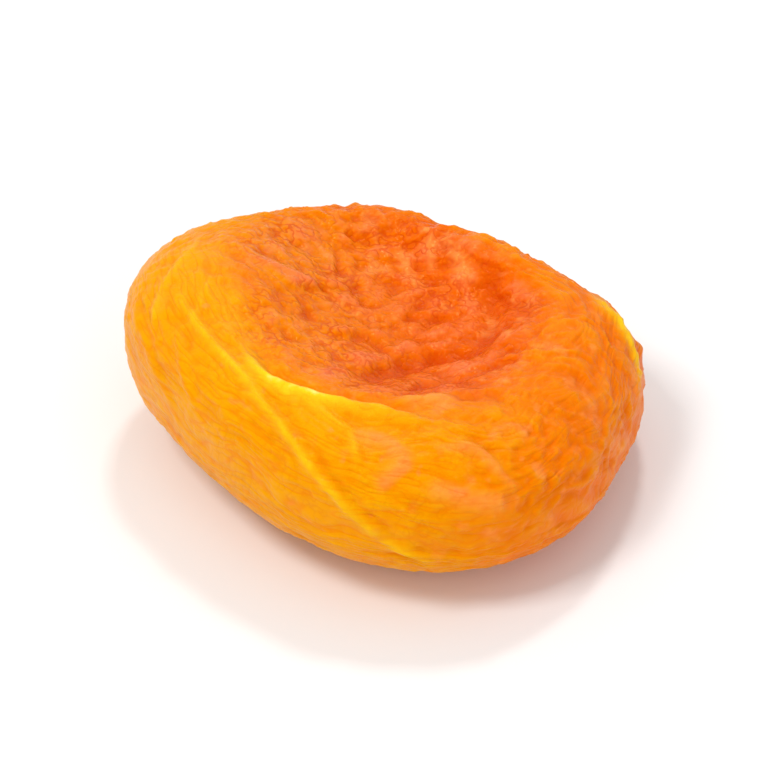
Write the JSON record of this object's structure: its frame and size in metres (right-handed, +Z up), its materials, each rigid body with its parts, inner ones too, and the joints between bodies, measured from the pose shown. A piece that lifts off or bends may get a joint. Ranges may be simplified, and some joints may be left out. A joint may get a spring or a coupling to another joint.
{
  "type": "dried apricot",
  "caption": "Whole stoned dried apricot lying on its back: plump wrinkled disc with a wide sunken hollow in its upper face and a small flat resting spot.",
  "frame": {"origin": "on the floor under the middle of the fruit's box: the resting spot lies in Z = 0", "axes": "+Z up, out of the hollow; +X to the right along the fruit's longest extent, towards its thinner end; +Y away, towards the thin far rim of the hollow"},
  "size_m": [0.0414, 0.0392, 0.016],
  "materials": {
    "flesh": "satin, slightly sticky wrinkled skin, golden yellow wall turning to orange in the hollow"
  },
  "bodies": {
    "root": {"apricot": "flesh"}
  },
  "joints": []
}
